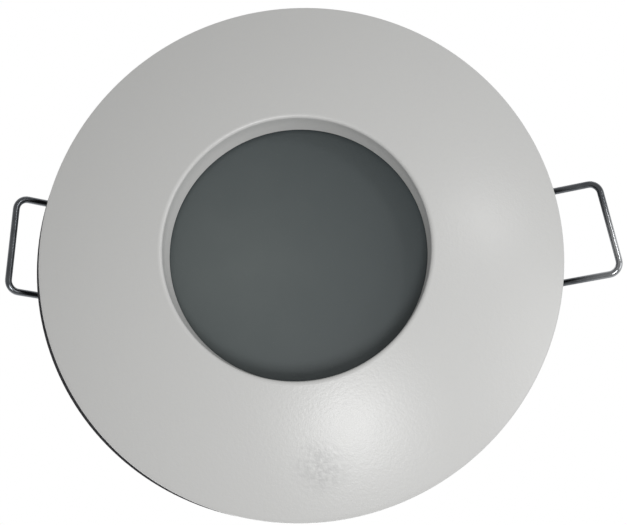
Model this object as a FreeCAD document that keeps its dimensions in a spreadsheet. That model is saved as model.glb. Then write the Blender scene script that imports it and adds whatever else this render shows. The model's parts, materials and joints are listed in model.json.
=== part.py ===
import FreeCAD, Part
import Sketcher
import math
import os

# Fixed soffit downlight for a 75 mm hole, standing as it is fitted: +Z goes up into the soffit, the
# trim and the glass face down, and the origin is the middle of the plane where the foam ring meets
# the board. All lengths are millimetres and all angles are degrees.

Vector = FreeCAD.Vector
document = FreeCAD.newDocument("SoffitDownlight")
sheet = document.addObject("Spreadsheet::Sheet", "Size")

# ---------------------------------------------------------------------------------------------
# Driving dimensions
# ---------------------------------------------------------------------------------------------

SIZES = [
    # the trim
    ("trim_dia", 90.0, "outside of the round trim"),
    ("dome_radius", 105.0, "crown of the trim's face, centred on the axis"),
    ("lip_thick", 1.5, "edge of the trim"),
    ("lip_round", 0.5, "rounding of the trim's edge"),
    ("dome_skin", 2.2, "wall behind the domed face"),
    ("aperture_dia", 44.8, "round opening in the face"),
    ("rim_round", 0.6, "rounding where the face meets the opening"),
    ("ledge_dia", 43.8, "opening of the ledge that carries the glass"),
    ("ledge_lip", 0.25, "upright land on the ledge's edge"),
    ("ledge_slope", 0.9, "height of the sloped band in front of the ledge"),
    ("land_dia", 70.0, "outside of the land that the can stands on"),
    ("groove_width", 3.0, "hollow between the land and the foam ring's seat"),
    ("rib_thick", 1.2, "ribs across the hollow"),
    ("rib_count", 12, "ribs across the hollow"),
    ("rib_root", 1.0, "rib inside the walls that it joins"),
    # the foam ring
    ("gasket_thick", 1.6, "foam ring, as stuck on"),
    ("gasket_margin", 1.2, "foam ring outside the hollow"),
    ("gasket_inset", 0.8, "foam ring inside the trim's edge"),
    ("gasket_shift", 1.5, "how far the ring is stuck off centre"),
    ("gasket_shift_angle", 162.0, "direction of that shift"),
    # the glass and its seals
    ("glass_dia", 52.0, "frosted glass"),
    ("glass_thick", 3.0, "frosted glass"),
    ("glass_bevel", 0.3, "ground edge of the glass"),
    ("glass_seal_thick", 0.6, "silicone ring under and round the glass"),
    ("seal_setback", 0.4, "silicone ring behind the ledge's edge"),
    ("clamp_thick", 1.0, "ring that holds the glass down"),
    ("clamp_bore", 46.0, "opening of the clamp ring"),
    ("clamp_notch", 2.4, "key notches in the clamp ring"),
    ("clamp_notch_count", 4, "key notches in the clamp ring"),
    ("seat_dia", 59.0, "recess that takes the clamp ring and the can's seal"),
    ("can_seal_thick", 0.6, "silicone ring under the can's flange"),
    ("can_seal_setback", 0.3, "silicone ring outside the can's bore"),
    ("fit_gap", 0.05, "play between fixed pieces, on the radius"),
    # the can
    ("can_dia", 56.0, "drawn can"),
    ("can_wall", 1.0, "drawn can"),
    ("can_height", 78.0, "drawn can, from the land"),
    ("shoulder_height", 60.0, "where the can starts to narrow"),
    ("can_top_dia", 44.0, "top of the can"),
    ("flange_inset", 0.4, "can's flange inside the land's edge"),
    ("flange_bend", 1.2, "bend between the flange and the can's side"),
    ("shoulder_bend", 5.0, "bend at the shoulder"),
    ("top_bend", 2.5, "bend at the top"),
    # screws
    ("screw_count", 3, "screws through the can's flange"),
    ("screw_dia", 3.0, "small screws"),
    ("screw_head_dia", 5.4, "small screws"),
    ("screw_head_height", 1.8, "small screws"),
    ("screw_play", 0.2, "round a screw in the can's flange"),
    ("flange_screw_length", 5.5, "screws through the can's flange, under the head"),
    ("screw_hole_spare", 0.3, "screw holes beyond the screws' ends"),
    ("cross_length", 3.2, "cross recess in a screw head"),
    ("cross_width", 0.8, "cross recess in a screw head"),
    ("cross_depth", 1.0, "cross recess in a screw head"),
    # the lamp
    ("lamp_dia", 50.0, "reflector lamp"),
    ("lamp_start", 1.5, "front of the lamp above the land"),
    ("lamp_wall", 1.2, "glass of the reflector"),
    ("lamp_rim", 2.5, "straight rim of the reflector"),
    ("lamp_crown", 52.0, "curve of the reflector's side"),
    ("lamp_neck_dia", 22.0, "back of the reflector"),
    ("lamp_bowl", 36.0, "length of the reflector"),
    ("lens_thick", 1.5, "front glass of the lamp"),
    ("lens_setback", 0.4, "front glass behind the reflector's rim"),
    ("capsule_dia", 8.0, "capsule in the reflector"),
    ("capsule_length", 22.0, "capsule in the reflector"),
    ("base_dia", 24.0, "ceramic base of the lamp"),
    ("base_length", 11.0, "ceramic base of the lamp"),
    ("base_flare", 2.0, "height in which the base widens behind the reflector"),
    ("base_taper", 1.5, "how much the base narrows towards its end, on the radius"),
    ("base_collar", 2.5, "round part of the base below its flats"),
    ("base_flat", 15.0, "width across the base's flats"),
    ("pin_pitch", 10.0, "between the lamp's two pins"),
    ("pin_shank_dia", 3.0, "lamp pins"),
    ("pin_button_dia", 5.0, "lamp pins"),
    ("pin_button_height", 3.0, "lamp pins"),
    ("pin_length", 7.0, "lamp pins"),
    # the lampholder and its bracket
    ("holder_dia", 28.0, "ceramic lampholder"),
    ("holder_back_dia", 24.0, "ceramic lampholder, back step"),
    ("holder_height", 19.0, "ceramic lampholder"),
    ("holder_step", 11.0, "height of the lampholder's wide part"),
    ("holder_slope", 1.5, "height of the lampholder's sloped step"),
    ("holder_round", 0.8, "rounding of the lampholder's mouth"),
    ("pin_well_dia", 5.7, "wells for the lamp pins"),
    ("back_recess_dia", 9.0, "recess in the holder's back"),
    ("back_recess_depth", 4.0, "recess in the holder's back"),
    ("contact_width", 3.4, "contacts in the wells"),
    ("contact_thick", 1.0, "contacts in the wells"),
    ("strap_thick", 1.0, "bracket strap"),
    ("strap_width", 12.0, "bracket strap"),
    ("strap_clear", 2.0, "between the strap's feet and the can's side at its top"),
    ("strap_foot", 4.6, "feet of the strap beyond its legs"),
    ("holder_screw_pitch", 16.0, "between the holder's two screws"),
    ("holder_screw_length", 6.0, "holder screws, under the head"),
    ("earth_screw_dia", 4.0, "earth screw"),
    ("earth_head_dia", 6.6, "earth screw"),
    ("earth_head_height", 2.2, "earth screw"),
    ("earth_screw_length", 4.0, "earth screw, under the head"),
    # rivets
    ("rivet_dia", 3.0, "rivets"),
    ("rivet_head_dia", 4.6, "rivets"),
    ("rivet_head_height", 1.1, "rivets"),
    ("rivet_set_dia", 3.8, "set ends of the rivets"),
    # the cable gland
    ("gland_thread_dia", 16.0, "gland's thread"),
    ("gland_flats", 22.0, "gland's hexagons, across the flats"),
    ("gland_bore_dia", 9.0, "way through the gland's body"),
    ("gland_cable_dia", 7.2, "bore of the rubber insert"),
    ("gland_washer_thick", 1.2, "rubber washer under the gland"),
    ("gland_hex_height", 5.0, "hexagon of the gland's body"),
    ("gland_collar_height", 7.0, "collar inside the dome nut"),
    ("gland_collar_step", 0.6, "collar inside the thread's outside, on the radius"),
    ("gland_collar_wall", 1.4, "collar inside the dome nut"),
    ("gland_nut_height", 12.0, "dome nut"),
    ("gland_nut_flats_height", 7.2, "hexagon of the dome nut"),
    ("gland_nut_crown", 8.5, "curve of the dome nut's top"),
    ("gland_mouth_lip", 1.6, "dome nut's mouth outside the cable, on the radius"),
    ("gland_mouth_edge", 1.0, "flat edge round the dome nut's mouth"),
    ("gland_insert_length", 8.0, "rubber insert"),
    ("gland_insert_proud", 1.5, "rubber insert above the collar"),
    ("gland_insert_lip", 0.4, "upright rim of the insert above the collar"),
    ("gland_insert_slope", 1.0, "how much the insert narrows to its top, on the radius"),
    ("gland_play", 0.3, "room above the collar and the insert in the dome nut"),
    ("locknut_height", 4.0, "locknut inside the can"),
    # the spring clips
    ("right_clip_angle", -7.0, "direction of the right clip"),
    ("left_clip_angle", 184.0, "direction of the left clip"),
    ("right_arm_droop", 16.0, "right loop below level, at rest"),
    ("left_arm_droop", 35.0, "left loop below level, at rest"),
    ("right_loop_skew", 5.5, "how far the right loop's cross bar is bent out of square"),
    ("left_loop_skew", 0.0, "how far the left loop's cross bar is bent out of square"),
    ("hinge_radius", 33.0, "hinge pin from the axis"),
    ("hinge_pin_dia", 3.0, "hinge pin"),
    ("hinge_head_dia", 4.4, "head of the hinge pin"),
    ("hinge_head_thick", 0.8, "head of the hinge pin"),
    ("pin_cap_thick", 0.6, "push-on cap of the hinge pin"),
    ("pin_end", 0.4, "end of the hinge pin beyond its cap"),
    ("wire_dia", 1.2, "spring wire"),
    ("coil_play", 0.3, "between the hinge pin and the coils"),
    ("coil_pitch", 1.8, "rise of one turn"),
    ("coil_turns", 3, "turns in each coil"),
    ("loop_width", 16.6, "between the loop's two legs"),
    ("loop_overhang", 5.5, "left loop's cross bar beyond the trim's edge, at rest"),
    ("loop_drop", 0.15, "left loop's cross bar below the foam's face, at rest"),
    ("loop_bend", 2.0, "rounding of the loop's corners"),
    ("ear_gap", 0.35, "between the loop's legs and the bracket's ears"),
    ("bracket_sheet", 1.0, "sheet of the clip bracket"),
    ("bracket_height", 17.0, "clip bracket, centred on the hinge"),
    ("ear_end_radius", 2.8, "round end of an ear"),
    ("ear_slope_angle", 50.0, "slope of an ear's sides"),
    ("ear_foot", 1.5, "straight stretch where an ear leaves the plate"),
    ("clip_rivet_pitch", 12.0, "between the two rivets of a clip"),
    ("tail_hole_play", 0.2, "round a spring tail in the bracket"),
    ("tail_setback", 0.3, "end of a spring tail outside the can"),
]

for row, (name, value, note) in enumerate(SIZES, start=1):
    sheet.set(f"A{row}", name)
    sheet.set(f"B{row}", str(value))
    sheet.set(f"C{row}", note)
    sheet.setAlias(f"B{row}", name)
document.recompute()


def number(expression):
    """Present value of an expression on the sheet."""
    return float(sheet.evalExpression(expression))


# Levels and radii that several pieces share, as expressions on the sheet. Z = 0 is the land that
# the can's flange stands on, level with the foam ring's free face. The lower loop's bar, beyond the
# trim's edge and level with the foam's face, sets the loops' length and the hinges' height. OVERRUN
# is how far a cut is drawn past what it cuts, and HEAD_ROUND the rounded share of a screw's head.

DOME_CENTRE = "(sqrt(Size.dome_radius^2 - (Size.trim_dia / 2)^2) - Size.gasket_thick - Size.lip_thick)"
CLAMP_TOP = "(-Size.can_seal_thick)"
GLASS_BACK = f"({CLAMP_TOP} - Size.clamp_thick)"
GLASS_FRONT = f"({GLASS_BACK} - Size.glass_thick)"
LEDGE = f"({GLASS_FRONT} - Size.glass_seal_thick)"
POCKET_R = "(Size.glass_dia / 2 + Size.glass_seal_thick)"
SEAT_R = "(Size.seat_dia / 2)"
LAND_R = "(Size.land_dia / 2)"
GROOVE_R = f"({LAND_R} + Size.groove_width)"
SCREW_R = f"(({SEAT_R} + {LAND_R}) / 2)"
CAN_R = "(Size.can_dia / 2)"
BASE_Z = "(Size.lamp_start + Size.lamp_bowl)"
PINS_Z = f"({BASE_Z} + Size.base_length)"
HOLDER_TOP = f"({PINS_Z} + Size.holder_height)"
STRAP_TOP = f"({HOLDER_TOP} + Size.strap_thick)"
CAN_CEILING = "(Size.can_height - Size.can_wall)"
STRAP_FOOT_Y = "(Size.can_top_dia / 2 - Size.can_wall - Size.strap_clear)"
STRAP_RIVET_Y = f"({STRAP_FOOT_Y} - Size.strap_foot / 2)"
GLAND_Z = "(Size.can_height + Size.gland_washer_thick)"
GLAND_NUT_Z = f"({GLAND_Z} + Size.gland_hex_height)"
COIL_R = "(Size.hinge_pin_dia / 2 + Size.coil_play + Size.wire_dia / 2)"
LOOP_REACH = "(Size.trim_dia / 2 + Size.loop_overhang - Size.hinge_radius)"
LOOP_LENGTH = f"(({LOOP_REACH} + {COIL_R} * sin(Size.left_arm_droop)) / cos(Size.left_arm_droop))"
LOOP_FALL = f"({LOOP_LENGTH} * sin(Size.left_arm_droop) + {COIL_R} * cos(Size.left_arm_droop))"
HINGE_Z = f"({LOOP_FALL} - Size.loop_drop)"
EAR_Y = "(Size.loop_width / 2 + Size.wire_dia / 2 + Size.ear_gap)"
EAR_OUT_Y = f"({EAR_Y} + Size.bracket_sheet)"
BRACKET_R = f"({CAN_R} + Size.bracket_sheet)"
OVERRUN = "1"
HEAD_ROUND = "0.6"


def dome_z(radius, inset="0"):
    """Height of the domed face at a radius, or of a face that lies inset behind it."""
    return f"({DOME_CENTRE} - sqrt((Size.dome_radius - {inset})^2 - ({radius})^2))"


# ---------------------------------------------------------------------------------------------
# Helpers for bodies, sketches and features
# ---------------------------------------------------------------------------------------------

pieces = []


def new_body(name):
    """A body whose label is the piece's name."""
    body = document.addObject("PartDesign::Body", "Body_" + name)
    body.Label = name
    pieces.append(body)
    return body


def origin_feature(body, role):
    return next(f for f in body.Origin.OriginFeatures if f.Role == role)


def new_sketch(body, role, lift=None, turn=None):
    """A sketch on one of the body's own planes, lifted along its normal or turned about Z."""
    sketch = body.newObject("Sketcher::SketchObject", "Sketch")
    sketch.AttachmentSupport = [(origin_feature(body, role), "")]
    sketch.MapMode = "FlatFace"
    if turn:
        sketch.AttachmentOffset = FreeCAD.Placement(Vector(), FreeCAD.Rotation(Vector(0, 1, 0), 1))
        sketch.setExpression("AttachmentOffset.Rotation.Angle", turn)
    if lift:
        sketch.setExpression("AttachmentOffset.Base.z", lift)
    return sketch


def hold(sketch, kind, *where, size):
    """Adds one constraint and ties it to the sheet."""
    index = sketch.addConstraint(Sketcher.Constraint(kind, *where, number(size)))
    sketch.setExpression(f"Constraints[{index}]", size)


def arc_centre(first, last, radius, side):
    """Centre of the short arc between two points, on the left or right of the way from first."""
    along = last - first
    rise = math.sqrt(radius**2 - (along.Length / 2) ** 2)
    left = Vector(-along.y, along.x, 0).normalize()
    return first + along / 2 + left * (rise if side == "left" else -rise)


def draw_edge(sketch, start, stop, arc=None):
    """A line, or an arc given by its radius and its centre's side, from start to stop. Returns the
    sketch's numbers for the ends of the edge."""
    if arc is None:
        sketch.addGeometry(Part.LineSegment(start, stop), False)
        return 1, 2
    radius, side = arc
    centre = arc_centre(start, stop, number(radius), side)
    angles = [math.atan2(p.y - centre.y, p.x - centre.x) for p in (start, stop)]
    if side == "right":
        angles.reverse()
    circle = Part.Circle(centre, Vector(0, 0, 1), number(radius))
    sketch.addGeometry(Part.ArcOfCircle(circle, *angles), False)
    return (1, 2) if side == "left" else (2, 1)


def outline(sketch, corners, arcs=None, closed=True):
    """A chain of edges through corners. Each corner is held by its distances from the origin, and
    arcs gives the radius and the centre's side of the edge that leaves a corner."""
    arcs = arcs or {}
    first_edge = sketch.GeometryCount
    points = [Vector(number(x), number(y), 0) for x, y in corners]
    stops = points[1:] + points[:1] if closed else points[1:]
    ends = [draw_edge(sketch, start, stop, arcs.get(i))
            for i, (start, stop) in enumerate(zip(points, stops))]
    for i, (x, y) in enumerate(corners):
        edge, corner = (i, ends[i][0]) if i < len(ends) else (i - 1, ends[-1][1])
        hold(sketch, "DistanceX", -1, 1, first_edge + edge, corner, size=x)
        hold(sketch, "DistanceY", -1, 1, first_edge + edge, corner, size=y)
    for i in range(0 if closed else 1, len(ends)):
        before = (i - 1) % len(ends)
        joint = (first_edge + before, ends[before][1], first_edge + i, ends[i][0])
        sketch.addConstraint(Sketcher.Constraint("Coincident", *joint))
    for i, (radius, _) in arcs.items():
        hold(sketch, "Radius", first_edge + i, size=radius)


def circles(sketch, places):
    """Circles, each given as x, y and radius."""
    for x, y, radius in places:
        edge = sketch.GeometryCount
        centre = Vector(number(x), number(y), 0)
        sketch.addGeometry(Part.Circle(centre, Vector(0, 0, 1), number(radius)), False)
        hold(sketch, "DistanceX", -1, 1, edge, 3, size=x)
        hold(sketch, "DistanceY", -1, 1, edge, 3, size=y)
        hold(sketch, "Radius", edge, size=radius)


def rectangle(sketch, x_low, x_high, y_low, y_high):
    outline(sketch, [(x_low, y_low), (x_high, y_low), (x_high, y_high), (x_low, y_high)])


def hexagon(sketch, flats, across="X"):
    """A regular hexagon about the origin, two of its flats across X or across Y."""
    half = f"({flats} / 2)"
    corner = f"({flats} / 2 / cos(30))"
    slant = f"({flats} / 4 / cos(30))"
    corners = [(half, slant), ("0", corner), (f"-{half}", slant),
               (f"-{half}", f"-{slant}"), ("0", f"-{corner}"), (half, f"-{slant}")]
    if across == "Y":
        corners = [(y, x) for x, y in reversed(corners)]
    outline(sketch, corners)


def finish(body, feature):
    body.Tip = feature
    document.recompute()
    return feature


def revolve(body, sketch, axis="V_Axis"):
    feature = body.newObject("PartDesign::Revolution", "Turned")
    feature.Profile = sketch
    feature.ReferenceAxis = (sketch, [axis])
    feature.Angle = 360.0
    return finish(body, feature)


def pad(body, sketch, length, symmetric=False, reverse=False):
    feature = body.newObject("PartDesign::Pad", "Pad")
    feature.Profile = sketch
    feature.setExpression("Length", length)
    feature.SideType = "Symmetric" if symmetric else "One side"
    feature.Reversed = reverse
    return finish(body, feature)


def pocket(body, sketch, depth, symmetric=False, reverse=False):
    """A cut, which has to take something away."""
    before = body.Shape.Volume
    feature = body.newObject("PartDesign::Pocket", "Pocket")
    feature.Profile = sketch
    feature.setExpression("Length", depth)
    feature.SideType = "Symmetric" if symmetric else "One side"
    feature.Reversed = reverse
    finish(body, feature)
    if body.Shape.Volume >= before:
        raise RuntimeError(f"a pocket of {body.Label} cuts nothing")
    return feature


def polar_pattern(body, features, count):
    feature = body.newObject("PartDesign::PolarPattern", "Pattern")
    feature.Originals = features
    feature.Axis = (origin_feature(body, "Z_Axis"), [""])
    feature.Angle = 360.0
    feature.setExpression("Occurrences", count)
    return finish(body, feature)


def mirror(body, features, role):
    feature = body.newObject("PartDesign::Mirrored", "Mirrored")
    feature.Originals = features
    feature.MirrorPlane = (origin_feature(body, role), [""])
    return finish(body, feature)


def is_ring(edge, radius, height):
    """Whether an edge is a full circle about the Z axis with this radius and height."""
    if not isinstance(edge.Curve, Part.Circle) or len(edge.Vertexes) > 1:
        return False
    centre = edge.Curve.Center
    near = abs(edge.Curve.Radius - radius) < 1e-3 and abs(centre.z - height) < 1e-3
    return near and math.hypot(centre.x, centre.y) < 1e-3


def round_edges(body, base, size, chosen):
    """Rounds the edges of a feature that pass a test."""
    names = [f"Edge{i}" for i, edge in enumerate(base.Shape.Edges, start=1) if chosen(edge)]
    feature = body.newObject("PartDesign::Fillet", "Rounded")
    feature.Base = (base, names)
    feature.setExpression("Radius", size)
    return finish(body, feature)


def round_rings(body, base, size, rings):
    """Rounds circular edges, each named by its radius and height."""
    places = [(number(radius), number(height)) for radius, height in rings]
    return round_edges(body, base, size, lambda edge: any(is_ring(edge, *p) for p in places))


def ring(name, inner, outer, low, high, centre=("0", "0")):
    """A flat ring between two radii and two heights."""
    body = new_body(name)
    sketch = new_sketch(body, "XY_Plane", lift=low)
    circles(sketch, [(*centre, outer), (*centre, inner)])
    pad(body, sketch, f"({high}) - ({low})")
    return body


def turned(name, corners, arcs=None):
    """A body turned about the Z axis from its half section."""
    body = new_body(name)
    sketch = new_sketch(body, "XZ_Plane")
    outline(sketch, corners, arcs)
    revolve(body, sketch)
    return body


# ---------------------------------------------------------------------------------------------
# Trim, glass and seals
# ---------------------------------------------------------------------------------------------

def make_bezel():
    """The cast trim: a thin dome outside, and inside it the seat of the glass and the land that
    the can is screwed to."""
    trim_r = "(Size.trim_dia / 2)"
    aperture_r = "(Size.aperture_dia / 2)"
    ledge_r = "(Size.ledge_dia / 2)"
    back = "(-Size.gasket_thick)"
    front = "(-Size.gasket_thick - Size.lip_thick)"
    corners = [
        (ledge_r, LEDGE),
        (POCKET_R, LEDGE),
        (POCKET_R, GLASS_BACK),
        (SEAT_R, GLASS_BACK),
        (SEAT_R, "0"),
        (LAND_R, "0"),
        (LAND_R, dome_z(LAND_R, "Size.dome_skin")),
        (GROOVE_R, dome_z(GROOVE_R, "Size.dome_skin")),
        (GROOVE_R, back),
        (trim_r, back),
        (trim_r, front),
        (aperture_r, dome_z(aperture_r)),
        (aperture_r, f"{LEDGE} - Size.ledge_lip - Size.ledge_slope"),
        (ledge_r, f"{LEDGE} - Size.ledge_lip"),
    ]
    arcs = {6: ("(Size.dome_radius - Size.dome_skin)", "left"), 10: ("Size.dome_radius", "right")}
    body = turned("bezel", corners, arcs)
    edges = [(trim_r, back), (trim_r, front)]
    feature = round_rings(body, body.Tip, "Size.lip_round", edges)
    round_rings(body, feature, "Size.rim_round", [(aperture_r, dome_z(aperture_r))])

    rib = new_sketch(body, "XY_Plane", lift=back)
    half = "(Size.rib_thick / 2)"
    rectangle(rib, f"({LAND_R} - Size.rib_root)", f"({GROOVE_R} + Size.rib_root)", f"-{half}", half)
    depth = f"(-{dome_z(GROOVE_R, 'Size.dome_skin / 2')} - Size.gasket_thick)"
    one_rib = pad(body, rib, depth, reverse=True)
    polar_pattern(body, [one_rib], "Size.rib_count")

    hole_sketch = new_sketch(body, "XY_Plane")
    circles(hole_sketch, [("0", SCREW_R, "Size.screw_dia / 2")])
    hole = body.newObject("PartDesign::Hole", "ScrewHole")
    hole.Profile = hole_sketch
    document.recompute()
    hole.ThreadType = "None"
    hole.setExpression("Diameter", "Size.screw_dia + 2 * Size.fit_gap")
    hole.DepthType = "Dimension"
    hole.setExpression("Depth", "Size.flange_screw_length - Size.can_wall + Size.screw_hole_spare")
    hole.DrillPoint = "Flat"
    finish(body, hole)
    polar_pattern(body, [hole], "Size.screw_count")
    return body


def make_ceiling_gasket():
    """The foam ring on the back of the trim's edge, stuck on a little off centre."""
    outer = "(Size.trim_dia / 2 - Size.gasket_inset)"
    centre = ("(Size.gasket_shift * cos(Size.gasket_shift_angle))",
              "(Size.gasket_shift * sin(Size.gasket_shift_angle))")
    return ring("ceiling_gasket", f"({GROOVE_R} + Size.gasket_margin)", outer,
                "(-Size.gasket_thick)", "0", centre)


def make_glass_seal():
    """The silicone ring that lies on the ledge and comes up round the glass."""
    inner = "(Size.ledge_dia / 2 + Size.seal_setback)"
    outer = f"({POCKET_R} - Size.fit_gap)"
    glass = "(Size.glass_dia / 2 + Size.fit_gap)"
    return turned("glass_seal", [
        (inner, LEDGE), (outer, LEDGE), (outer, f"{GLASS_BACK} - Size.fit_gap"),
        (glass, f"{GLASS_BACK} - Size.fit_gap"), (glass, GLASS_FRONT), (inner, GLASS_FRONT)])


def make_front_glass():
    radius = "(Size.glass_dia / 2)"
    ground = f"({radius} - Size.glass_bevel)"
    return turned("front_glass", [
        ("0", GLASS_FRONT), (ground, GLASS_FRONT), (radius, f"{GLASS_FRONT} + Size.glass_bevel"),
        (radius, f"{GLASS_BACK} - Size.glass_bevel"), (ground, GLASS_BACK), ("0", GLASS_BACK)])


def make_glass_clamp_ring():
    """The flat ring that holds the glass down, with notches for a key."""
    bore = "(Size.clamp_bore / 2)"
    body = ring("glass_clamp_ring", bore, f"({SEAT_R} - 2 * Size.fit_gap)", GLASS_BACK, CLAMP_TOP)
    notch = new_sketch(body, "XY_Plane", lift=CLAMP_TOP)
    half = "(Size.clamp_notch / 2)"
    rectangle(notch, f"({bore} - {OVERRUN})", f"({bore} + {half})", f"-{half}", half)
    cut = pocket(body, notch, "Size.clamp_thick")
    polar_pattern(body, [cut], "Size.clamp_notch_count")
    return body


def make_can_seal():
    inner = f"({CAN_R} - Size.can_wall + Size.can_seal_setback)"
    return ring("can_seal", inner, f"({SEAT_R} - 2 * Size.fit_gap)", CLAMP_TOP, "0")


# ---------------------------------------------------------------------------------------------
# Can and screws
# ---------------------------------------------------------------------------------------------

def clip_sketch(body, angle):
    """A sketch that stands on the axis and faces the clip at this angle."""
    return new_sketch(body, "YZ_Plane", turn=angle)


def clip_rivet_heights():
    half = "Size.clip_rivet_pitch / 2"
    return [f"({HINGE_Z} - {half})", f"({HINGE_Z} + {half})"]


def make_rear_can():
    """The drawn can: a flange on the land, a straight side, a conical shoulder and a flat top with
    the hole for the gland."""
    wall = "Size.can_wall"
    flange_r = f"({LAND_R} - Size.flange_inset)"
    top_r = "(Size.can_top_dia / 2)"
    gland_r = "(Size.gland_thread_dia / 2 + 2 * Size.fit_gap)"
    inner_r = f"({CAN_R} - {wall})"
    inner_top_r = f"({top_r} - {wall})"
    corners = [
        (inner_r, "0"), (flange_r, "0"), (flange_r, wall), (CAN_R, wall),
        (CAN_R, "Size.shoulder_height"), (top_r, "Size.can_height"),
        (gland_r, "Size.can_height"), (gland_r, CAN_CEILING),
        (inner_top_r, CAN_CEILING), (inner_r, "Size.shoulder_height"),
    ]
    body = turned("rear_can", corners)
    feature = round_rings(body, body.Tip, "Size.flange_bend", [(CAN_R, wall)])
    shoulders = [(CAN_R, "Size.shoulder_height"), (inner_r, "Size.shoulder_height")]
    feature = round_rings(body, feature, "Size.shoulder_bend", shoulders)
    feature = round_rings(body, feature, "Size.top_bend", [(top_r, "Size.can_height")])
    round_rings(body, feature, f"(Size.top_bend - {wall})", [(inner_top_r, CAN_CEILING)])

    hole_r = "(Size.screw_dia / 2 + Size.screw_play)"
    flange_hole = new_sketch(body, "XY_Plane", lift=wall)
    circles(flange_hole, [("0", SCREW_R, hole_r)])
    cut = pocket(body, flange_hole, wall)
    polar_pattern(body, [cut], "Size.screw_count")

    rivet_r = "(Size.rivet_dia / 2 + Size.fit_gap)"
    top_holes = new_sketch(body, "XY_Plane", lift="Size.can_height")
    circles(top_holes, [("0", STRAP_RIVET_Y, rivet_r), ("0", f"-{STRAP_RIVET_Y}", rivet_r)])
    pocket(body, top_holes, f"2 * {wall}")
    for angle in ("Size.right_clip_angle", "Size.left_clip_angle"):
        side_holes = clip_sketch(body, angle)
        circles(side_holes, [("0", height, rivet_r) for height in clip_rivet_heights()])
        pocket(body, side_holes, f"({CAN_R} + {OVERRUN})", reverse=True)
    return body


def cross_recess(body, y, top):
    """A cross cut into the head of a screw that stands at x = 0 and this y."""
    wide = "(Size.cross_width / 2)"
    reach = "(Size.cross_length / 2)"
    for half_x, half_y in ((wide, reach), (reach, wide)):
        slot = new_sketch(body, "XY_Plane", lift=top)
        rectangle(slot, f"-{half_x}", half_x, f"({y} - {half_y})", f"({y} + {half_y})")
        pocket(body, slot, "Size.cross_depth")


def make_screws(name, y, seat, length, count, shank="Size.screw_dia",
                head="Size.screw_head_dia", head_height="Size.screw_head_height"):
    """Round-headed screws that point down from a seat, the first at x = 0 and this y."""
    body = new_body(name)
    head_sketch = new_sketch(body, "XY_Plane", lift=seat)
    circles(head_sketch, [("0", y, f"({head} / 2)")])
    pad(body, head_sketch, head_height)
    shank_sketch = new_sketch(body, "XY_Plane", lift=seat)
    circles(shank_sketch, [("0", y, f"({shank} / 2)")])
    shank_pad = pad(body, shank_sketch, length, reverse=True)
    top = f"({seat} + {head_height})"
    top_z = number(top)
    round_edges(body, shank_pad, f"({head_height} * {HEAD_ROUND})",
                lambda edge: all(abs(v.Z - top_z) < 1e-3 for v in edge.Vertexes))
    cross_recess(body, y, top)
    if number(count) > 1:
        repeat_body(body, count)


def repeat_body(body, count):
    """Repeats all that the body holds about the Z axis, as separate solids."""
    solids = body.newObject("PartDesign::PolarPattern", "Pattern")
    solids.TransformMode = "Whole shape"
    solids.Axis = (origin_feature(body, "Z_Axis"), [""])
    solids.Angle = 360.0
    solids.setExpression("Occurrences", count)
    return finish(body, solids)


# ---------------------------------------------------------------------------------------------
# Lamp
# ---------------------------------------------------------------------------------------------

def make_lamp():
    """The reflector lamp with its front glass, capsule, ceramic base and two pins."""
    rim_r = "(Size.lamp_dia / 2)"
    neck_r = "(Size.lamp_neck_dia / 2)"
    start = "Size.lamp_start"
    straight = f"({start} + Size.lamp_rim)"
    neck_z = f"({BASE_Z} - Size.lamp_wall)"
    inner_rim = f"({rim_r} - Size.lamp_wall)"
    inner_neck = f"({neck_r} - Size.lamp_wall)"
    turned("lamp_reflector", [
        (inner_rim, start), (rim_r, start), (rim_r, straight), (neck_r, neck_z), (neck_r, BASE_Z),
        (inner_neck, BASE_Z), (inner_neck, neck_z), (inner_rim, straight)],
        {2: ("Size.lamp_crown", "left"), 6: ("Size.lamp_crown", "right")})

    lens_r = f"({inner_rim} - Size.fit_gap)"
    lens_low = f"({start} + Size.lens_setback)"
    lens_high = f"({lens_low} + Size.lens_thick)"
    turned("lamp_lens", [("0", lens_low), (lens_r, lens_low), (lens_r, lens_high), ("0", lens_high)])

    capsule_r = "(Size.capsule_dia / 2)"
    tip = f"({BASE_Z} - Size.capsule_length)"
    turned("lamp_capsule", [("0", tip), (capsule_r, f"{tip} + {capsule_r}"), (capsule_r, BASE_Z),
                            ("0", BASE_Z)], {0: (capsule_r, "left")})

    base_r = "(Size.base_dia / 2)"
    base = turned("lamp_base", [
        ("0", BASE_Z), (neck_r, BASE_Z), (base_r, f"{BASE_Z} + Size.base_flare"),
        (f"({base_r} - Size.base_taper)", PINS_Z), ("0", PINS_Z)])
    flats = new_sketch(base, "XY_Plane", lift=PINS_Z)
    flat_y = "(Size.base_flat / 2)"
    beyond = f"({base_r} + {OVERRUN})"
    rectangle(flats, f"-{beyond}", beyond, flat_y, beyond)
    cut = pocket(base, flats, "Size.base_length - Size.base_collar")
    mirror(base, [cut], "XZ_Plane")

    pins = new_body("lamp_pins")
    shank = new_sketch(pins, "XY_Plane", lift=PINS_Z)
    pin_x = "(Size.pin_pitch / 2)"
    circles(shank, [(pin_x, "0", "Size.pin_shank_dia / 2")])
    pad(pins, shank, "Size.pin_length")
    button = new_sketch(pins, "XY_Plane", lift=f"{PINS_Z} + Size.pin_length")
    circles(button, [(pin_x, "0", "Size.pin_button_dia / 2")])
    pad(pins, button, "Size.pin_button_height", reverse=True)
    repeat_body(pins, "2")


# ---------------------------------------------------------------------------------------------
# Lampholder and its bracket
# ---------------------------------------------------------------------------------------------

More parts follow.
